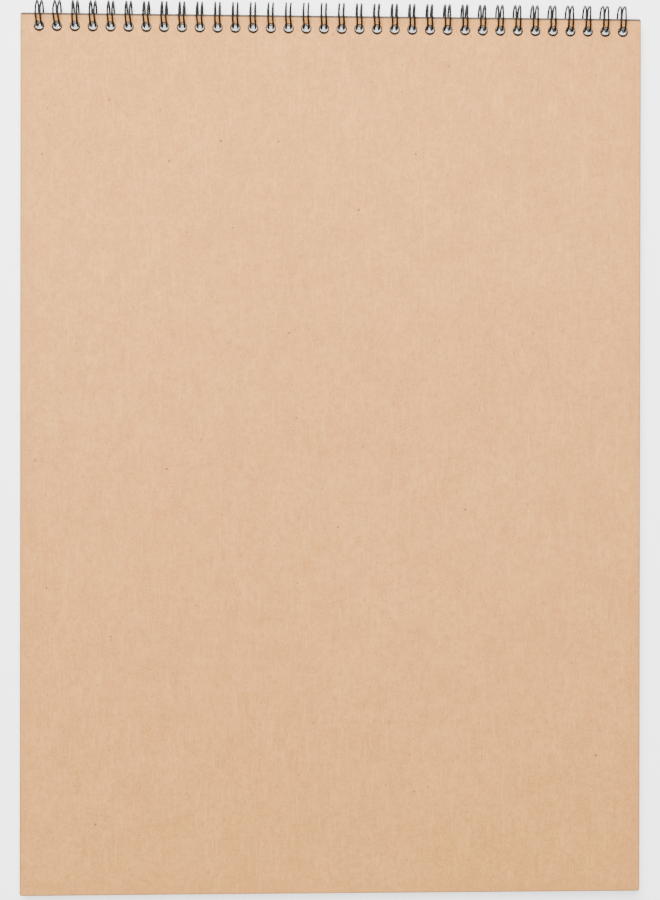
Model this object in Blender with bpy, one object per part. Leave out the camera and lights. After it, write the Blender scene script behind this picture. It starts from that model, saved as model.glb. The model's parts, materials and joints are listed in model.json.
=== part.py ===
# Wire-bound sketchbook: kraft front cover, drawing sheets, back board and double-loop wire.
# The book lies on its back. The cover faces +Z and the spine runs along X on the +Y side.
# The origin is the middle of the bounding box, on the plane that the wire's outer circle touches.
import math

import bmesh
import bpy
from mathutils import Matrix, Vector

MM = 0.001

# Leaves: A3 portrait
LEAF_WIDTH = 297.0 * MM
LEAF_HEIGHT = 420.0 * MM
COVER_THICKNESS = 0.5 * MM
SHEET_THICKNESS = 0.3 * MM
SHEET_COUNT = 8
BOARD_THICKNESS = 1.0 * MM
LEAF_GAP = 0.11 * MM
COVER_CORNER = 1.2 * MM
SHEET_CORNER = 0.8 * MM
CORNER_SEGMENTS = 2

# Punching: three holes to the inch
HOLE_COUNT = 34
HOLE_PITCH = 25.4 * MM / 3.0
HOLE_RADIUS = 2.35 * MM
HOLE_INSET = 6.4 * MM
CARD_HOLE_SIDES = 8
SHEET_HOLE_SIDES = 6
PUNCH_DEPTH = 30.0 * MM

# Double-loop wire: each finger is two strands joined by a narrow tip, and wide heels join
# the fingers. Angles are in degrees about the ring's axis, from +Y through +Z.
WIRE_RADIUS = 0.45 * MM
RING_RADIUS = 6.0 * MM
RING_OVER_EDGE = 0.2 * MM
STRAND_HALF_GAP = 1.1 * MM
CORNER_STEP = 0.55 * MM
HEEL_ANGLE = 250.0
HEEL_LEAD = 7.0
TIP_ANGLE = 596.0
TIP_LEAD = 8.0
STRAND_STEPS = 12

HINGE_MARK_SIZE = 10.0 * MM

# Heights and lengths that follow from the sizes above
SHEETS_THICKNESS = SHEET_COUNT * SHEET_THICKNESS + (SHEET_COUNT + 1) * LEAF_GAP
BLOCK_THICKNESS = BOARD_THICKNESS + SHEETS_THICKNESS + COVER_THICKNESS
RING_Z = RING_RADIUS + WIRE_RADIUS
STACK_BASE_Z = RING_Z - BLOCK_THICKNESS / 2.0
TOTAL_LENGTH = LEAF_HEIGHT + RING_OVER_EDGE + RING_RADIUS + WIRE_RADIUS
SPINE_Y = LEAF_HEIGHT - TOTAL_LENGTH / 2.0
RING_Y = SPINE_Y + RING_OVER_EDGE


def clear_scene():
    for item in list(bpy.data.objects):
        bpy.data.objects.remove(item, do_unlink=True)


def make_collection(name):
    collection = bpy.data.collections.new(name)
    bpy.context.scene.collection.children.link(collection)
    return collection


def make_material(name, colour, roughness):
    material = bpy.data.materials.new(name)
    material.use_nodes = True
    shader = material.node_tree.nodes["Principled BSDF"]
    shader.inputs["Base Color"].default_value = (*colour, 1.0)
    shader.inputs["Roughness"].default_value = roughness
    shader.inputs["Metallic"].default_value = 0.0
    material.diffuse_color = (*colour, 1.0)
    return material


def hole_centre_x(index):
    return (index - (HOLE_COUNT - 1) / 2.0) * HOLE_PITCH


def finish_mesh(shape, name):
    mesh = bpy.data.meshes.new(name)
    shape.to_mesh(mesh)
    shape.free()
    return mesh


def add_hinge(name, parent, collection):
    # An empty on the ring's axis. Each leaf's hinge hangs on the hinge of the leaf below it.
    hinge = bpy.data.objects.new(name, None)
    hinge.empty_display_type = "ARROWS"
    hinge.empty_display_size = HINGE_MARK_SIZE
    collection.objects.link(hinge)
    if parent is None:
        hinge.location = (0.0, RING_Y, RING_Z)
    else:
        hinge.parent = parent
    return hinge


def add_punch(name, sides, collection):
    # The row of prisms that punches the holes, one prism for each hole.
    shape = bmesh.new()
    turn = Matrix.Rotation(math.pi / sides, 4, "Z")
    for index in range(HOLE_COUNT):
        place = Matrix.Translation((hole_centre_x(index), SPINE_Y - HOLE_INSET, RING_Z))
        bmesh.ops.create_cone(
            shape,
            cap_ends=True,
            segments=sides,
            radius1=HOLE_RADIUS,
            radius2=HOLE_RADIUS,
            depth=PUNCH_DEPTH,
            matrix=place @ turn,
        )
    punch = bpy.data.objects.new(name, finish_mesh(shape, name))
    punch.display_type = "WIRE"
    punch.hide_render = True
    collection.objects.link(punch)
    return punch


def add_leaf(name, base_z, thickness, corner, material, hinge, punch, collection):
    # A flat leaf whose spine edge stops just short of the ring's axis.
    shape = bmesh.new()
    bmesh.ops.create_cube(shape, size=1.0)
    bmesh.ops.scale(shape, verts=shape.verts, vec=(LEAF_WIDTH, LEAF_HEIGHT, thickness))
    upright = [edge for edge in shape.edges if edge.verts[0].co.z * edge.verts[1].co.z < 0.0]
    bmesh.ops.bevel(
        shape,
        geom=upright,
        offset=corner,
        segments=CORNER_SEGMENTS,
        profile=0.5,
        affect="EDGES",
    )
    middle = Vector((0.0, -RING_OVER_EDGE - LEAF_HEIGHT / 2.0, base_z + thickness / 2.0 - RING_Z))
    bmesh.ops.translate(shape, verts=shape.verts, vec=middle)
    leaf = bpy.data.objects.new(name, finish_mesh(shape, name))
    leaf.data.materials.append(material)
    leaf.parent = hinge
    collection.objects.link(leaf)
    cut = leaf.modifiers.new("punched_holes", "BOOLEAN")
    cut.operation = "DIFFERENCE"
    cut.solver = "EXACT"
    cut.object = punch
    return leaf


def ring_point(x, degrees):
    angle = math.radians(degrees)
    return Vector((x, RING_RADIUS * math.cos(angle), RING_RADIUS * math.sin(angle)))


def strand_points(x, start, stop):
    return [ring_point(x, start + (stop - start) * step / STRAND_STEPS) for step in range(STRAND_STEPS + 1)]


def finger_points(index):
    # Heel corner, up one strand, round the narrow tip, back down the other, heel corner.
    centre = hole_centre_x(index)
    left = centre - STRAND_HALF_GAP
    right = centre + STRAND_HALF_GAP
    first = HEEL_ANGLE + HEEL_LEAD
    last = TIP_ANGLE - TIP_LEAD
    points = [ring_point(left - CORNER_STEP, HEEL_ANGLE)]
    points += strand_points(left, first, last)
    points.append(ring_point(left + CORNER_STEP, TIP_ANGLE))
    points.append(ring_point(right - CORNER_STEP, TIP_ANGLE))
    points += strand_points(right, last, first)
    points.append(ring_point(right + CORNER_STEP, HEEL_ANGLE))
    return points


def add_wire(name, material, collection):
    points = []
    for index in range(HOLE_COUNT):
        points += finger_points(index)
    curve = bpy.data.curves.new(name, "CURVE")
    curve.dimensions = "3D"
    curve.bevel_depth = WIRE_RADIUS
    curve.bevel_resolution = 0
    curve.use_fill_caps = True
    spline = curve.splines.new("POLY")
    spline.points.add(len(points) - 1)
    for target, point in zip(spline.points, points):
        target.co = (point.x, point.y, point.z, 1.0)
    wire = bpy.data.objects.new(name, curve)
    wire.data.materials.append(material)
    wire.location = (0.0, RING_Y, RING_Z)
    collection.objects.link(wire)
    return wire


def build():
    clear_scene()
    book = make_collection("sketchbook")
    cutters = make_collection("sketchbook_cutters")
    kraft = make_material("kraft_card", (0.74, 0.52, 0.35), 0.85)
    paper = make_material("drawing_paper", (0.86, 0.85, 0.82), 0.9)
    board = make_material("grey_board", (0.36, 0.32, 0.28), 0.9)
    black_wire = make_material("coated_wire", (0.02, 0.02, 0.022), 0.35)

    card_punch = add_punch("card_punch", CARD_HOLE_SIDES, cutters)
    sheet_punch = add_punch("sheet_punch", SHEET_HOLE_SIDES, cutters)

    base = add_hinge("ring_axis", None, book)
    add_leaf("back_board", STACK_BASE_Z, BOARD_THICKNESS, COVER_CORNER, board, base, card_punch, book)
    add_wire("binding_wire", black_wire, book)

    height = STACK_BASE_Z + BOARD_THICKNESS + LEAF_GAP
    hinge = base
    for number in range(SHEET_COUNT, 0, -1):
        name = "sheet_%02d" % number
        hinge = add_hinge(name + "_hinge", hinge, book)
        add_leaf(name, height, SHEET_THICKNESS, SHEET_CORNER, paper, hinge, sheet_punch, book)
        height += SHEET_THICKNESS + LEAF_GAP
    hinge = add_hinge("cover_hinge", hinge, book)
    add_leaf("front_cover", height, COVER_THICKNESS, COVER_CORNER, kraft, hinge, card_punch, book)


build()
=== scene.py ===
import json
import math

import bmesh
import bpy
import numpy as np
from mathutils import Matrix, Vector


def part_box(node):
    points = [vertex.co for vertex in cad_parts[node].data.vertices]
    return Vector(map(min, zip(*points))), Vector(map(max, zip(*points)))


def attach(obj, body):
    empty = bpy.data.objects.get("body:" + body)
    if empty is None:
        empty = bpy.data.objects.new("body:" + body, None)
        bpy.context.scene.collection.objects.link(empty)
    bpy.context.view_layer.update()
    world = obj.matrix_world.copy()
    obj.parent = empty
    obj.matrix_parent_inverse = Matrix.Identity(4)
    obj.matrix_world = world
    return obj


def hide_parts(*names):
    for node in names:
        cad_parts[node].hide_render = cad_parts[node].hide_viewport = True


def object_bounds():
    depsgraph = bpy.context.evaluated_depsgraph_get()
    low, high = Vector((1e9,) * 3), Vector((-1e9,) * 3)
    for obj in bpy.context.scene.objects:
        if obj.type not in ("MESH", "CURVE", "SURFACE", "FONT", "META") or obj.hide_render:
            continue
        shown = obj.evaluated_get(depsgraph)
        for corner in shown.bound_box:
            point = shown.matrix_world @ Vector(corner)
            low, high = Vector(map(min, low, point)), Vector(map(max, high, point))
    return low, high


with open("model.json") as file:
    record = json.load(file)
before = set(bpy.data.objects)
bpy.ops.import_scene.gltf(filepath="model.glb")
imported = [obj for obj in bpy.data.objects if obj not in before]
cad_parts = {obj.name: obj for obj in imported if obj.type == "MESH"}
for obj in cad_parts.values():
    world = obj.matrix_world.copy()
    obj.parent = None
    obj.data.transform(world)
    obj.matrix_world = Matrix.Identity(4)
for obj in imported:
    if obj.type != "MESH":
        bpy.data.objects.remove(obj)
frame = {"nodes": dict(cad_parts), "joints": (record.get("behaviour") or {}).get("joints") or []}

cadLow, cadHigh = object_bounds()
mm = 0.001

# every place comes from the CAD's own boxes and its first hinge
coverLow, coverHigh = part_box("front_cover")
boardLow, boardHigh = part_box("back_board")
wireLow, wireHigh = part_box("binding_wire")
ringY, ringZ = frame["joints"][0]["pos_m"][1:]
halfWidth = coverHigh[0]
spineY = coverHigh[1]
footY = coverLow[1]

punching = {
    "count": 34,
    "pitch": 25.4 * mm / 3,   # three holes to the inch
    "inset": 6.4 * mm,        # spine edge to the middle of a hole
    "radius": 2.25 * mm,
}


# meshes

def putMesh(name, points, faces, smooth):
    mesh = bpy.data.meshes.new(name)
    mesh.from_pydata(points.tolist(), [], faces)
    mesh.polygons.foreach_set("use_smooth", np.full(len(mesh.polygons), smooth))
    piece = bpy.data.objects.new(name, mesh)
    bpy.context.scene.collection.objects.link(piece)
    return piece


def gridCells(rows, columns):
    # corner numbers of each cell in a grid of points, row by row
    first = (np.arange(rows - 1)[:, None] * columns + np.arange(columns - 1)[None, :]).ravel()
    return np.stack([first, first + 1, first + 1 + columns, first + columns], axis=-1)


# node trees

def addNode(tree, kind, **settings):
    node = tree.nodes.new(kind)
    for key, value in settings.items():
        setattr(node, key, value)
    return node


def feed(tree, socket, value):
    # a socket takes another node's output, a number or a colour
    if isinstance(value, bpy.types.NodeSocket):
        tree.links.new(value, socket)
    elif isinstance(value, (int, float)):
        socket.default_value = value
    elif len(socket.default_value) == 4:
        socket.default_value = (*value, 1.0)
    else:
        socket.default_value = value


def place(tree, scale=(1, 1, 1), turn=0.0, shift=(0, 0, 0)):
    where = addNode(tree, "ShaderNodeTexCoord")
    mapping = addNode(tree, "ShaderNodeMapping")
    feed(tree, mapping.inputs["Vector"], where.outputs["Object"])
    feed(tree, mapping.inputs["Scale"], scale)
    feed(tree, mapping.inputs["Rotation"], (0.0, 0.0, turn))
    feed(tree, mapping.inputs["Location"], shift)
    return mapping.outputs["Vector"]


def cloud(tree, point, scale, detail=4.0, roughness=0.6, distortion=0.0):
    node = addNode(tree, "ShaderNodeTexNoise")
    feed(tree, node.inputs["Vector"], point)
    feed(tree, node.inputs["Scale"], scale)
    feed(tree, node.inputs["Detail"], detail)
    feed(tree, node.inputs["Roughness"], roughness)
    feed(tree, node.inputs["Distortion"], distortion)
    return node.outputs["Fac"]


def span(tree, value, low, high, toLow=0.0, toHigh=1.0):
    # values from low to high are carried to the range toLow to toHigh
    node = addNode(tree, "ShaderNodeMapRange")
    feed(tree, node.inputs["Value"], value)
    feed(tree, node.inputs["From Min"], low)
    feed(tree, node.inputs["From Max"], high)
    feed(tree, node.inputs["To Min"], toLow)
    feed(tree, node.inputs["To Max"], toHigh)
    return node.outputs["Result"]


def maths(tree, operation, first, second=0.0):
    node = addNode(tree, "ShaderNodeMath", operation=operation)
    feed(tree, node.inputs[0], first)
    feed(tree, node.inputs[1], second)
    return node.outputs["Value"]


def blendColour(tree, under, over, amount, how="MIX"):
    node = addNode(tree, "ShaderNodeMix", data_type="RGBA", blend_type=how)
    feed(tree, node.inputs[0], amount)
    feed(tree, node.inputs[6], under)
    feed(tree, node.inputs[7], over)
    return node.outputs[2]


speckShape = {
    "smallest": 0.35,       # against the largest spot of its kind
    "softEdge": 0.3,
    "ragged": (0.6, 1.4),   # how far the outline moves in and out
    "ragScale": 7,          # ragged steps to a cell
}


def specks(tree, cells, size, share, shift=(0, 0, 0), stretch=(1, 1, 1), turn=0.0):
    # in some cells of a scattered pattern, a ragged spot of its own size
    point = place(tree, stretch, turn, shift)
    scatter = addNode(tree, "ShaderNodeTexVoronoi", voronoi_dimensions="2D")
    feed(tree, scatter.inputs["Vector"], point)
    feed(tree, scatter.inputs["Scale"], cells)
    lot = addNode(tree, "ShaderNodeSeparateColor")
    feed(tree, lot.inputs["Color"], scatter.outputs["Color"])
    chosen = maths(tree, "LESS_THAN", lot.outputs["Red"], share)
    outline = cloud(tree, point, cells * speckShape["ragScale"], 3.0)
    ragged = span(tree, outline, 0.3, 0.7, *speckShape["ragged"])
    ownSize = span(tree, lot.outputs["Green"], 0.0, 1.0, speckShape["smallest"] * size, size)
    reach = maths(tree, "MULTIPLY", ownSize, ragged)
    inside = maths(tree, "SUBTRACT", reach, scatter.outputs["Distance"])
    return maths(tree, "MULTIPLY", span(tree, inside, 0.0, speckShape["softEdge"] * size), chosen)


def newMaterial(name, roughness):
    # the roughness is the shader's plain value, which most surfaces then vary with a pattern
    material = bpy.data.materials.new(name)
    material.use_nodes = True
    shader = material.node_tree.nodes["Principled BSDF"]
    shader.inputs["Roughness"].default_value = roughness
    return material, material.node_tree, shader


def relief(tree, shader, height, depth):
    bump = addNode(tree, "ShaderNodeBump")
    feed(tree, bump.inputs["Strength"], 1.0)
    feed(tree, bump.inputs["Distance"], depth)
    feed(tree, bump.inputs["Height"], height)
    feed(tree, shader.inputs["Normal"], bump.outputs["Normal"])


def edgeDistances(tree):
    # metres from a point on a leaf to its nearest outer edge, and to its spine edge
    where = addNode(tree, "ShaderNodeTexCoord")
    axes = addNode(tree, "ShaderNodeSeparateXYZ")
    feed(tree, axes.inputs["Vector"], where.outputs["Object"])
    across = maths(tree, "SUBTRACT", halfWidth, maths(tree, "ABSOLUTE", axes.outputs["X"]))
    below = maths(tree, "SUBTRACT", axes.outputs["Y"], footY)
    above = maths(tree, "SUBTRACT", spineY, axes.outputs["Y"])
    return maths(tree, "MINIMUM", across, maths(tree, "MINIMUM", below, above)), above


def holeDistance(tree):
    # metres from a point on the cover to the middle of the nearest hole
    where = addNode(tree, "ShaderNodeTexCoord")
    axes = addNode(tree, "ShaderNodeSeparateXYZ")
    feed(tree, axes.inputs["Vector"], where.outputs["Object"])
    pitches = maths(tree, "DIVIDE", axes.outputs["X"], punching["pitch"])
    aside = maths(tree, "SUBTRACT", maths(tree, "FRACT", pitches), 0.5)
    aside = maths(tree, "MULTIPLY", aside, punching["pitch"])
    upright = maths(tree, "SUBTRACT", axes.outputs["Y"], spineY - punching["inset"])
    asideSquare = maths(tree, "MULTIPLY", aside, aside)
    uprightSquare = maths(tree, "MULTIPLY", upright, upright)
    distance = maths(tree, "SQRT", maths(tree, "ADD", asideSquare, uprightSquare))
    # past the end of the row there is no hole, so a whole metre is added
    halfRow = punching["count"] * punching["pitch"] / 2
    beyond = maths(tree, "GREATER_THAN", maths(tree, "ABSOLUTE", axes.outputs["X"]), halfRow)
    return maths(tree, "ADD", distance, beyond)


# Pattern scales are in noise cells to the metre. Specks are cells to the metre, size within a
# cell, share of the cells that have one, and then a shift, a stretch and a turn where needed.

kraft = {
    "base": (0.67, 0.297, 0.074),
    "pale": (0.75, 0.370, 0.114),
    "deep": (0.52, 0.220, 0.058),
    "pink": (0.71, 0.288, 0.084),
    "fleck": (0.12, 0.050, 0.020),
    "glint": (0.80, 0.46, 0.2),
    # the cut faces are a little darker than the card; the rest of the depth of the edge and cut browns
    # is painted shade, for the shaded hole walls
    "edge": (0.088, 0.064, 0.046),
    "cut": (0.085, 0.045, 0.024),
    "rim": (0.005, 0.0025, 0.0015),
    # painted shade: darker and yellower towards the foot
    "paintedFootShade": (0.93, 0.925, 0.80),   # multiplies the colour at the foot
    "paintedFootShadeFrom": 100.0 * mm,        # from the spine edge
    "broad": 9.0,
    "blotch": 75.0,
    "warmth": 55.0,
    "mottle": 300.0,
    "fine": 1100.0,
    "grain": 1500.0,
    "fibre": 700.0,
    "fibreTurns": (0.5, -0.7, 1.45),
    "patchy": 160.0,
    "largeFlecks": (34.0, 0.022, 0.45),
    "smallFlecks": (150.0, 0.070, 0.26, (0.7, 0.2, 0.0), (1.0, 0.7, 1.0), 0.4),
    "dust": (420.0, 0.13, 0.22, (0.1, 0.9, 0.0)),
    "glints": (260.0, 0.11, 0.16, (0.5, 0.4, 0.0)),
    "edgeShadeLine": (0.25 * mm, 0.7 * mm),
    "spineShadeLine": (0.95 * mm, 1.25 * mm),
    "handled": 9.0 * mm,
    "rimFade": (2.42 * mm, 2.64 * mm),   # from the middle of a hole
    "cutLayers": 5200.0,
    "tooth": 0.05 * mm,
}


def kraftMaterial():
    material, tree, shader = newMaterial("kraftCard", 0.86)
    plain = place(tree)
    # broad patches, soft blotches, mottling, then short grain with no strong direction
    broad = cloud(tree, plain, kraft["broad"], 2.0)
    blotch = cloud(tree, place(tree, (1.0, 0.8, 1.0), 0.0, (0.2, 0.5, 0.0)), kraft["blotch"], 3.0, 0.6)
    warmth = cloud(tree, place(tree, (1.0, 0.9, 1.0), 0.0, (0.9, 0.1, 0.0)), kraft["warmth"], 2.0, 0.5)
    mottle = cloud(tree, plain, kraft["mottle"], 4.0, 0.65)
    fine = cloud(tree, plain, kraft["fine"], 4.0, 0.7)
    grain = cloud(tree, place(tree, (1.0, 0.3, 1.0), 0.2), kraft["grain"], 3.0, 0.65)
    colour = blendColour(tree, kraft["base"], kraft["pale"], span(tree, broad, 0.35, 0.65, 0.0, 0.5))
    colour = blendColour(tree, colour, kraft["pink"], span(tree, warmth, 0.42, 0.6, 0.0, 0.6))
    colour = blendColour(tree, colour, kraft["deep"], span(tree, blotch, 0.42, 0.68, 0.0, 0.55))
    colour = blendColour(tree, colour, kraft["deep"], span(tree, mottle, 0.40, 0.66, 0.0, 0.75))
    colour = blendColour(tree, colour, kraft["pale"], span(tree, fine, 0.45, 0.66, 0.0, 0.8))
    colour = blendColour(tree, colour, kraft["deep"], span(tree, grain, 0.5, 0.72, 0.0, 0.8))
    # long fibres lying at three angles, pale and dark
    for number, turn in enumerate(kraft["fibreTurns"]):
        lie = place(tree, (1.0, 0.11, 1.0), turn, (0.3 * number, 0.1, 0.0))
        fibre = cloud(tree, lie, kraft["fibre"], 2.0, 0.5, 0.6)
        shade = kraft["pale"] if number else kraft["deep"]
        colour = blendColour(tree, colour, shade, span(tree, fibre, 0.6, 0.72, 0.0, 0.5))
    # painted shade: the card grows darker and yellower towards its foot, where less light falls
    fromEdge, fromSpine = edgeDistances(tree)
    paintedFootShade = span(tree, fromSpine, kraft["paintedFootShadeFrom"], spineY - footY, 0.0, 1.0)
    colour = blendColour(tree, colour, kraft["paintedFootShade"], paintedFootShade, "MULTIPLY")
    large = specks(tree, *kraft["largeFlecks"])
    small = specks(tree, *kraft["smallFlecks"])
    dust = specks(tree, *kraft["dust"])
    glints = specks(tree, *kraft["glints"])
    colour = blendColour(tree, colour, kraft["fleck"], maths(tree, "MULTIPLY", large, 0.75))
    colour = blendColour(tree, colour, kraft["fleck"], maths(tree, "MULTIPLY", small, 0.42))
    colour = blendColour(tree, colour, kraft["fleck"], maths(tree, "MULTIPLY", dust, 0.2))
    colour = blendColour(tree, colour, kraft["glint"], maths(tree, "MULTIPLY", glints, 0.2))
    # a thin darker line along the edges, painted shade of the rounded cut edge; along the spine it
    # stands in for the block below
    line = span(tree, fromEdge, *kraft["edgeShadeLine"], 0.6, 0.0)
    spineShadeLine = span(tree, fromSpine, *kraft["spineShadeLine"], 1.0, 0.0)
    handled = span(tree, fromEdge, 0.0, kraft["handled"], 0.28, 0.0)
    patchy = span(tree, cloud(tree, plain, kraft["patchy"], 3.0), 0.3, 0.7, 0.85, 1.0)
    colour = blendColour(tree, colour, kraft["deep"], handled)
    lines = maths(tree, "MAXIMUM", maths(tree, "MULTIPLY", line, patchy), spineShadeLine)
    colour = blendColour(tree, colour, kraft["edge"], lines)
    # a dark rim round each hole, which stands in for the shaded wall inside it
    rim = span(tree, holeDistance(tree), *kraft["rimFade"], 1.0, 0.0)
    colour = blendColour(tree, colour, kraft["rim"], rim)
    feed(tree, shader.inputs["Base Color"], colour)
    feed(tree, shader.inputs["Roughness"], span(tree, mottle, 0.3, 0.7, 0.78, 0.93))
    shader.inputs["Specular IOR Level"].default_value = 0.3
    tooth = maths(tree, "ADD", maths(tree, "MULTIPLY", fine, 0.6), maths(tree, "MULTIPLY", grain, 0.5))
    tooth = maths(tree, "SUBTRACT", tooth, maths(tree, "MULTIPLY", small, 0.3))
    relief(tree, shader, tooth, kraft["tooth"])
    return material


cutEdge = {
    "flatten": 0.04,     # stretches the layers along the leaf
    "crumb": 2600.0,
    "vary": (-0.06, 0.05),
    "depth": 0.04 * mm,
}


def cutMaterial(name, colours, layers, roughness):
    # a cut edge shows thin layers through the thickness, broken up by fibres
    material, tree, shader = newMaterial(name, roughness)
    ply = cloud(tree, place(tree, (cutEdge["flatten"], cutEdge["flatten"], 1.0)), layers, 2.0)
    crumb = cloud(tree, place(tree), cutEdge["crumb"], 4.0, 0.7)
    colour = blendColour(tree, colours[0], colours[1], span(tree, ply, 0.35, 0.65))
    colour = blendColour(tree, colour, colours[2], span(tree, crumb, 0.45, 0.75, 0.0, 0.6))
    feed(tree, shader.inputs["Base Color"], colour)
    smoothest, roughest = [roughness + change for change in cutEdge["vary"]]
    feed(tree, shader.inputs["Roughness"], span(tree, crumb, 0.3, 0.7, smoothest, roughest))
    relief(tree, shader, maths(tree, "ADD", ply, crumb), cutEdge["depth"])
    return material


paper = {
    "base": (0.86, 0.85, 0.82),
    "shade": (0.80, 0.785, 0.75),
    "fibre": (0.70, 0.68, 0.63),
    "cloudy": 60.0,
    "tooth": 1300.0,
    "felt": 700.0,
    "specks": (210.0, 0.07, 0.2),
    "handled": 2.5 * mm,
    "cutLayers": 9000.0,
    "depth": 0.05 * mm,
}


def paperMaterial():
    material, tree, shader = newMaterial("drawingPaper", 0.92)
    plain = place(tree)
    cloudy = cloud(tree, plain, paper["cloudy"], 3.0)
    tooth = cloud(tree, plain, paper["tooth"], 5.0, 0.65)
    felt = cloud(tree, place(tree, (1.0, 0.35, 1.0), 0.3), paper["felt"], 3.0, 0.55, 0.4)
    colour = blendColour(tree, paper["base"], paper["shade"], span(tree, cloudy, 0.35, 0.7, 0.0, 0.5))
    colour = blendColour(tree, colour, paper["shade"], span(tree, tooth, 0.5, 0.75, 0.0, 0.5))
    shives = maths(tree, "MULTIPLY", specks(tree, *paper["specks"]), 0.35)
    colour = blendColour(tree, colour, paper["fibre"], shives)
    fromEdge = edgeDistances(tree)[0]
    handled = span(tree, fromEdge, 0.0, paper["handled"], 0.25, 0.0)
    colour = blendColour(tree, colour, paper["fibre"], handled)
    feed(tree, shader.inputs["Base Color"], colour)
    feed(tree, shader.inputs["Roughness"], span(tree, tooth, 0.3, 0.7, 0.86, 0.96))
    shader.inputs["Specular IOR Level"].default_value = 0.25
    relief(tree, shader, maths(tree, "ADD", tooth, maths(tree, "MULTIPLY", felt, 0.8)), paper["depth"])
    return material


board = {
    "base": (0.30, 0.265, 0.225),
    "pale": (0.42, 0.38, 0.33),
    "deep": (0.17, 0.145, 0.12),
    "straw": (0.5, 0.33, 0.2),
    "cloudy": 40.0,
    "mottle": 600.0,
    "fibre": 800.0,
    "darkSpecks": (190.0, 0.12, 0.4),
    "strawSpecks": (130.0, 0.1, 0.2, (0.4, 0.4, 0)),
    "worn": 1.2 * mm,
    "cutLayers": 4200.0,
    "depth": 0.07 * mm,
}


def boardMaterial():
    material, tree, shader = newMaterial("greyBoard", 0.9)
    plain = place(tree)
    cloudy = cloud(tree, plain, board["cloudy"], 4.0)
    mottle = cloud(tree, plain, board["mottle"], 5.0, 0.7)
    fibre = cloud(tree, place(tree, (1.0, 0.08, 1.0), 0.9), board["fibre"], 2.0, 0.5, 0.7)
    colour = blendColour(tree, board["base"], board["pale"], span(tree, cloudy, 0.35, 0.65, 0.0, 0.5))
    colour = blendColour(tree, colour, board["deep"], span(tree, mottle, 0.45, 0.7, 0.0, 0.6))
    colour = blendColour(tree, colour, board["pale"], span(tree, fibre, 0.58, 0.7, 0.0, 0.6))
    dark = maths(tree, "MULTIPLY", specks(tree, *board["darkSpecks"]), 0.7)
    colour = blendColour(tree, colour, board["deep"], dark)
    straw = maths(tree, "MULTIPLY", specks(tree, *board["strawSpecks"]), 0.5)
    colour = blendColour(tree, colour, board["straw"], straw)
    fromEdge = edgeDistances(tree)[0]
    worn = span(tree, fromEdge, 0.0, board["worn"], 0.6, 0.0)
    colour = blendColour(tree, colour, board["pale"], worn)
    feed(tree, shader.inputs["Base Color"], colour)
    feed(tree, shader.inputs["Roughness"], span(tree, mottle, 0.3, 0.7, 0.82, 0.95))
    relief(tree, shader, maths(tree, "ADD", mottle, fibre), board["depth"])
    return material


coating = {
    "base": (0.0050, 0.0042, 0.0038),
    "pale": (0.0095, 0.0083, 0.0078),
    "worn": (0.045, 0.042, 0.040),
    "chip": (0.14, 0.13, 0.12),
    "orange": 2400.0,   # the fine dimples of a dipped coating
    "wear": 330.0,
    "drawn": 5200.0,
    "chips": (700.0, 0.10, 0.06),
    "depth": 0.015 * mm,
}


def wireMaterial():
    material, tree, shader = newMaterial("coatedWire", 0.42)
    plain = place(tree)
    orange = cloud(tree, plain, coating["orange"], 3.0)
    wear = cloud(tree, plain, coating["wear"], 5.0, 0.7)
    drawn = cloud(tree, place(tree, (1.0, 0.25, 0.25)), coating["drawn"], 2.0)
    colour = blendColour(tree, coating["base"], coating["pale"], span(tree, orange, 0.35, 0.7))
    colour = blendColour(tree, colour, coating["worn"], span(tree, wear, 0.66, 0.74, 0.0, 0.6))
    chips = maths(tree, "MULTIPLY", specks(tree, *coating["chips"]), 0.5)
    colour = blendColour(tree, colour, coating["chip"], chips)
    feed(tree, shader.inputs["Base Color"], colour)
    feed(tree, shader.inputs["Roughness"], span(tree, wear, 0.35, 0.75, 0.36, 0.6))
    shader.inputs["Specular IOR Level"].default_value = 0.18
    dimples = maths(tree, "ADD", orange, maths(tree, "MULTIPLY", drawn, 0.4))
    relief(tree, shader, dimples, coating["depth"])
    return material


# leaves

leafMesh = {
    "cornerSteps": 5,
    "crowding": 1.6,    # above 1, rings lie closer together near the hole
    "merge": 0.002 * mm,
    "bevelFrom": 50,    # degrees between faces
}


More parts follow.
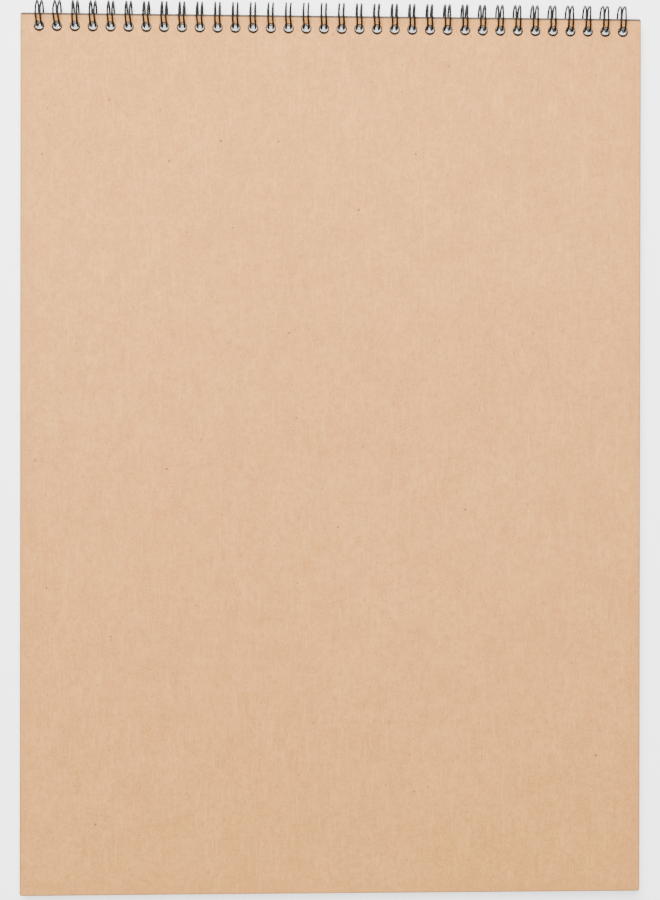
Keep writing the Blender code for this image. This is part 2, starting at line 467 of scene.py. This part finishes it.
def leafPlan(perSide, rings, rows, corner, hole, shift):
    # A leaf seen from above. The hole row is a band of square cells, each a set of rings that
    # turn from the hole's outline into the cell's square. Plain grids fill the rest.
    pitch, count = punching["pitch"], punching["count"]
    bandMiddle = spineY - punching["inset"]
    bandLow, bandHigh = bandMiddle - pitch / 2, bandMiddle + pitch / 2
    cellEdge = pitch * count / 2
    close = corner * np.linspace(0.0, 1.0, leafMesh["cornerSteps"])
    side = np.concatenate([close, [(corner + halfWidth - cellEdge) / 2]])
    inner = np.linspace(-cellEdge, cellEdge, count * perSide + 1)
    acrossLeft = -halfWidth + side
    across = np.concatenate([acrossLeft, inner, -acrossLeft[::-1]])
    below = np.concatenate([footY + close, np.linspace(footY + corner, bandLow, rows + 1)[1:]])
    above = np.concatenate([[bandHigh], (spineY - close)[::-1]])
    beside = np.linspace(bandLow, bandHigh, perSide + 1)
    left = np.append(acrossLeft, -cellEdge)
    patches = []
    for xs, ys in ((across, below), (across, above), (left, beside), (-left[::-1], beside)):
        patches.append(np.stack(np.meshgrid(xs, ys), axis=-1))
    # one cell: the square's outline, anticlockwise from its lower right corner
    run = np.linspace(-0.5, 0.5, perSide + 1)[:-1] * pitch
    half = np.full(perSide, pitch / 2)
    square = np.concatenate([
        np.stack([half, run], axis=-1),
        np.stack([-run, half], axis=-1),
        np.stack([-half, -run], axis=-1),
        np.stack([run, -half], axis=-1),
    ])
    square = np.vstack([square, square[:1]])
    opening = square / np.linalg.norm(square, axis=1, keepdims=True) * hole + np.array([0.0, shift])
    outward = (np.linspace(0.0, 1.0, rings + 1) ** leafMesh["crowding"])[:, None, None]
    cell = opening[None] * (1 - outward) + square[None] * outward
    for number in range(count):
        middle = np.array([(number - (count - 1) / 2) * pitch, bandMiddle])
        patches.append((cell + middle)[:, ::-1])
    points, faces, start = [], [], 0
    for patch in patches:
        points.append(patch.reshape(-1, 2))
        faces.append(gridCells(*patch.shape[:2]) + start)
        start += patch.shape[0] * patch.shape[1]
    return roundCorners(np.concatenate(points), corner), np.concatenate(faces)


def roundCorners(points, corner):
    # inside each corner square, a point keeps its larger step from the arc's centre as its radius
    middle = (footY + spineY) / 2
    flat = points - np.array([0.0, middle])
    centre = np.array([halfWidth, (spineY - footY) / 2]) - corner
    step = np.abs(flat) - centre
    inside = (step > 0).all(axis=1)
    length = np.linalg.norm(step, axis=1)
    rounded = centre + step * (step.max(axis=1) / np.where(length > 0, length, 1))[:, None]
    flat[inside] = (np.sign(flat) * rounded)[inside]
    return flat + np.array([0.0, middle])


def addLeaf(name, plan, top, thickness, surface, cut, lip, height):
    # height(x, y) lifts the plan's points above the leaf's flat top
    points, faces = plan
    z = top + height(points[:, 0], points[:, 1])
    leaf = putMesh(name, np.column_stack([points, z]), faces.tolist(), False)
    work = bmesh.new()
    work.from_mesh(leaf.data)
    bmesh.ops.remove_doubles(work, verts=work.verts, dist=leafMesh["merge"])
    work.to_mesh(leaf.data)
    work.free()
    leaf.data.materials.append(surface)
    leaf.data.materials.append(cut)
    solid = leaf.modifiers.new("thickness", "SOLIDIFY")
    solid.thickness = thickness
    solid.offset = -1.0
    solid.material_offset_rim = 1
    worn = leaf.modifiers.new("wornEdge", "BEVEL")
    worn.width = lip
    worn.segments = 2
    worn.limit_method = "ANGLE"
    worn.angle_limit = math.radians(leafMesh["bevelFrom"])
    return leaf


def noHeight(x, y):
    return 0.0 * x


# A leaf's mesh is the steps along each side of a hole's cell, the rings in the cell, and the
# rows from there to the foot.

coverShape = {
    "mesh": (12, 5, 40),
    "curl": 0.55 * mm,               # the free corners lift a little
    "curlMiddle": 0.45,              # share of the curl at the middle of the foot
    "wave": 0.05 * mm,
    "ripple": (31.0, 23.0),          # radians to the metre, across and along
    "ripplePhase": 0.7,
    "dish": 0.06 * mm,               # the punch pressed the card down round each hole
    "dishWidth": 0.45 * mm,
    "hole": (2.1 * mm, 1.78 * mm),   # half axes of the oval opening
    "holeShift": 0.45 * mm,          # towards the spine, so the rim is widest on the foot side
    "corner": 1.0 * mm,
    "lip": 0.09 * mm,
    "cutRoughness": 0.9,
}

sheetShape = {
    "mesh": (8, 3, 10),
    "hang": 0.8,                     # how closely the holes follow the ring's reach, 1 being fully
    "corner": 0.8 * mm,
    "lip": 0.04 * mm,
    "cutRoughness": 0.94,
}

backShape = {
    "mesh": (10, 4, 24),
    "corner": 1.0 * mm,
    "lip": 0.1 * mm,
    "cutRoughness": 0.93,
}


def holeGap(x, y):
    # distance from the rim of the nearest hole
    pitch, count = punching["pitch"], punching["count"]
    number = np.clip(np.round(x / pitch + (count - 1) / 2), 0, count - 1)
    nearest = (number - (count - 1) / 2) * pitch
    return np.hypot(x - nearest, y - (spineY - punching["inset"])) - punching["radius"]


def coverHeight(x, y):
    # a curl that grows with the cube of the distance from the spine and towards the sides,
    # a slow wave, and a shallow dish round each hole
    away = np.clip((spineY - y) / (spineY - footY), 0.0, 1.0)
    sides = coverShape["curlMiddle"] + (1 - coverShape["curlMiddle"]) * (x / halfWidth) ** 2
    curl = coverShape["curl"] * away ** 3 * sides
    aboutX, aboutY = coverShape["ripple"]
    ripple = np.sin(x * aboutX + coverShape["ripplePhase"]) * np.sin(y * aboutY)
    wave = coverShape["wave"] * away * (1 + ripple)
    gap = np.maximum(holeGap(x, y), 0.0)
    dish = coverShape["dish"] * np.exp(-(gap / coverShape["dishWidth"]) ** 2)
    return curl + wave - dish


def makeCover():
    hole, shift = coverShape["hole"], coverShape["holeShift"]
    plan = leafPlan(*coverShape["mesh"], coverShape["corner"], hole, shift)
    # the cover's cut faces, its hole walls among them, carry painted shade in their dark browns
    cutColours = (kraft["cut"], kraft["edge"], kraft["deep"])
    cut = cutMaterial("kraftCutEdge", cutColours, kraft["cutLayers"], coverShape["cutRoughness"])
    surface = kraftMaterial()
    top, thickness = coverHigh[2], coverHigh[2] - coverLow[2]
    cover = addLeaf("kraftCover", plan, top, thickness, surface, cut, coverShape["lip"], coverHeight)
    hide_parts("front_cover")
    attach(cover, "cover")
    print("cover", len(cover.data.polygons))


def makeSheets():
    surface = paperMaterial()
    cutColours = (paper["base"], paper["shade"], paper["fibre"])
    cut = cutMaterial("paperCutEdge", cutColours, paper["cutLayers"], sheetShape["cutRoughness"])
    outerRadius = cadHigh[1] - ringY
    atCover = math.sqrt(outerRadius ** 2 - (coverHigh[2] - ringZ) ** 2)
    for name in sorted(node for node in frame["nodes"] if node.startswith("sheet_")):
        low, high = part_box(name)
        # the holes follow the wire, which reaches furthest from its axis at the middle of the block
        level = (low[2] + high[2]) / 2 - ringZ
        hang = sheetShape["hang"] * (atCover - math.sqrt(outerRadius ** 2 - level ** 2))
        plan = leafPlan(*sheetShape["mesh"], sheetShape["corner"], punching["radius"], hang)
        sheetName = name.replace("sheet_", "drawingSheet")
        top, thickness = high[2], high[2] - low[2]
        sheet = addLeaf(sheetName, plan, top, thickness, surface, cut, sheetShape["lip"], noHeight)
        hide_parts(name)
        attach(sheet, name.replace("sheet", "leaf"))
    print("sheets", len(sheet.data.polygons))


def makeBoard():
    plan = leafPlan(*backShape["mesh"], backShape["corner"], punching["radius"], 0.0)
    cutColours = (board["base"], board["pale"], board["deep"])
    cut = cutMaterial("boardCutEdge", cutColours, board["cutLayers"], backShape["cutRoughness"])
    surface = boardMaterial()
    top, thickness = boardHigh[2], boardHigh[2] - boardLow[2]
    back = addLeaf("backBoard", plan, top, thickness, surface, cut, backShape["lip"], noHeight)
    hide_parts("back_board")
    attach(back, "base")
    print("board", len(back.data.polygons))


# wire

wireShape = {
    "radius": 0.475 * mm,
    "halfGap": 1.1 * mm,           # middle of a finger to each of its strands
    "heel": 250.0,                 # degrees about the ring, from +Y through +Z
    "tip": 596.0,
    "heelBend": 1.5 * mm,
    "free": (388.0, 510.0),        # degrees between the holes of the turned and the closed leaves
    "lean": -0.30 * mm,            # how far a finger slants along the spine in that stretch
    "scatter": 0.13 * mm,          # each finger's own share of the slant
    "widen": 0.35,                 # against the scatter
    "puff": 0.3,                   # against the scatter, in or out of the ring
    "puffLimit": 0.02 * mm,
    "seed": 34,
    "sides": 12,
    "steps": (8, 44, 7),           # along a heel's bend, a strand and half a tip
}

ring = wireHigh[2] - ringZ - wireShape["radius"]   # ring's axis to the middle of the wire


def fingerOutline():
    # One finger on the unrolled ring, as (along the spine, round the ring): a straight heel, a
    # quarter turn, a strand, a half turn at the narrow tip, and the same back again.
    gap, bend = wireShape["halfGap"], wireShape["heelBend"]
    low = math.radians(wireShape["heel"]) * ring
    high = math.radians(wireShape["tip"]) * ring
    bendSteps, strandSteps, tipSteps = wireShape["steps"]
    quarter = np.linspace(0.0, math.pi / 2, bendSteps)
    acrossBend = -gap - bend + bend * np.sin(quarter)
    corner = np.stack([acrossBend, low + bend - bend * np.cos(quarter)], axis=-1)
    climb = np.linspace(low + bend, high - gap, strandSteps)[1:-1]
    strand = np.stack([np.full(len(climb), -gap), climb], axis=-1)
    half = np.linspace(math.pi, math.pi / 2, tipSteps)
    tip = np.stack([gap * np.cos(half), high - gap + gap * np.sin(half)], axis=-1)
    start = np.array([[-punching["pitch"] / 2, low]])
    up = np.concatenate([start, corner, strand, tip])
    down = up[::-1][1:-1] * np.array([-1.0, 1.0])
    return np.concatenate([up, down])


def wirePath():
    # The outline of each finger, rolled up round the ring. In the free stretch it slants, opens
    # and bulges by its own small amount, times the square of a sine from one end to the other.
    chance = np.random.default_rng(wireShape["seed"])
    outline = fingerOutline()
    angle = outline[:, 1] / ring
    freeFrom, freeTo = wireShape["free"]
    free = np.clip((angle - math.radians(freeFrom)) / math.radians(freeTo - freeFrom), 0.0, 1.0)
    swell = np.sin(math.pi * free) ** 2
    count = punching["count"]
    lean = wireShape["lean"] + chance.normal(0.0, wireShape["scatter"], count)
    wider = chance.normal(0.0, wireShape["widen"] * wireShape["scatter"], count)
    puff = chance.normal(0.0, wireShape["puff"] * wireShape["scatter"], count)
    middle = (np.arange(count) - (count - 1) / 2) * punching["pitch"]
    side = np.sign(outline[:, 0])
    slant = lean[:, None] + wider[:, None] * side[None]
    x = outline[None, :, 0] + middle[:, None] + swell[None] * slant
    reach = ring + np.minimum(puff[:, None], wireShape["puffLimit"]) * swell[None]
    y = ringY + reach * np.cos(angle)[None]
    z = ringZ + reach * np.sin(angle)[None]
    points = np.stack([x, y, z], axis=-1).reshape(-1, 3)
    radial = np.stack([0 * angle, np.cos(angle), np.sin(angle)], axis=-1)
    return points, np.tile(radial, (count, 1))


def makeWire():
    # a circle carried along the path, held upright by the direction out of the ring
    path, radial = wirePath()
    along = np.gradient(path, axis=0)
    along /= np.linalg.norm(along, axis=1, keepdims=True)
    outward = radial - along * (radial * along).sum(axis=1, keepdims=True)
    outward /= np.linalg.norm(outward, axis=1, keepdims=True)
    across = np.cross(along, outward)
    sides = wireShape["sides"]
    turn = np.linspace(0.0, 2 * math.pi, sides, endpoint=False)
    section = outward[:, None] * np.cos(turn)[None, :, None]
    section = section + across[:, None] * np.sin(turn)[None, :, None]
    points = (path[:, None] + wireShape["radius"] * section).reshape(-1, 3)
    start = np.arange(len(path) - 1)[:, None] * sides
    following = start + sides
    here = np.arange(sides)[None]
    after = (here + 1) % sides
    walls = np.stack([start + here, start + after, following + after, following + here], axis=-1)
    last = (len(path) - 1) * sides
    ends = [list(range(sides))[::-1], list(range(last, last + sides))]
    faces = walls.reshape(-1, 4).tolist() + ends
    wire = putMesh("doubleLoopWire", points, faces, True)
    wire.data.materials.append(wireMaterial())
    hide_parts("binding_wire")
    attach(wire, "base")
    print("wire", len(faces))


# studio

studio = {
    "floor": (0.95, 0.95, 0.95),
    "floorGlow": 1.3,
    "floorRoughness": 0.85,
    "floorHalf": 60.0,      # metres
    "floorDrop": 0.2 * mm,
    "world": 0.62,
    "lens": 72.67,
    "eye": (-36.3 * mm, 5.6 * mm, 868.7 * mm),   # from the middle of the cover
    "tilt": (-0.221, -2.322, 0.085),             # degrees
    # place, side, watts and aim
    "keyLight": ((-0.2, 0.62, 1.2), 0.9, 57.0, (0.0, 0.05, 0.0)),
    "fillLight": ((0.8, -0.9, 1.3), 1.2, 5.0, (0.0, 0.0, 0.0)),
}


def areaLight(name, spot, size, power, target):
    lamp = bpy.data.lights.new(name, "AREA")
    lamp.energy = power
    lamp.size = size
    lamp.shape = "SQUARE"
    light = bpy.data.objects.new(name, lamp)
    bpy.context.scene.collection.objects.link(light)
    light.location = spot
    light.visible_camera = False
    direction = np.array(target) - np.array(spot)
    tip = math.atan2(math.hypot(direction[0], direction[1]), -direction[2])
    heading = math.atan2(direction[1], direction[0]) - math.pi / 2
    light.rotation_euler = (tip, 0.0, heading)


def makeStudio():
    floorMaterial, tree, shader = newMaterial("paleFloor", studio["floorRoughness"])
    feed(tree, shader.inputs["Base Color"], studio["floor"])
    feed(tree, shader.inputs["Emission Color"], (1.0, 1.0, 1.0))
    shader.inputs["Emission Strength"].default_value = studio["floorGlow"]
    corners = np.array([[-1.0, -1.0, 0.0], [1.0, -1.0, 0.0], [1.0, 1.0, 0.0], [-1.0, 1.0, 0.0]])
    corners = corners * studio["floorHalf"] - np.array([0.0, 0.0, studio["floorDrop"]])
    floor = putMesh("studioFloor", corners, [[0, 1, 2, 3]], False)
    floor.data.materials.append(floorMaterial)
    world = bpy.data.worlds.new("studioWorld")
    world.use_nodes = True
    sky = world.node_tree.nodes["Background"]
    sky.inputs["Color"].default_value = (1.0, 1.0, 1.0, 1.0)
    sky.inputs["Strength"].default_value = studio["world"]
    bpy.context.scene.world = world
    for name in ("keyLight", "fillLight"):
        areaLight(name, *studio[name])


def makeCamera():
    view = bpy.data.cameras.new("copyCamera")
    view.lens = studio["lens"]
    view.sensor_width = 36.0
    view.clip_start = 0.05
    camera = bpy.data.objects.new("copyCamera", view)
    bpy.context.scene.collection.objects.link(camera)
    middle = np.array([0.0, (spineY + footY) / 2, coverHigh[2]])
    camera.location = middle + np.array(studio["eye"])
    camera.rotation_euler = [math.radians(angle) for angle in studio["tilt"]]
    bpy.context.scene.camera = camera


makeCover()
makeSheets()
makeBoard()
makeWire()
makeStudio()
makeCamera()

bpy.context.view_layer.update()
print("done")
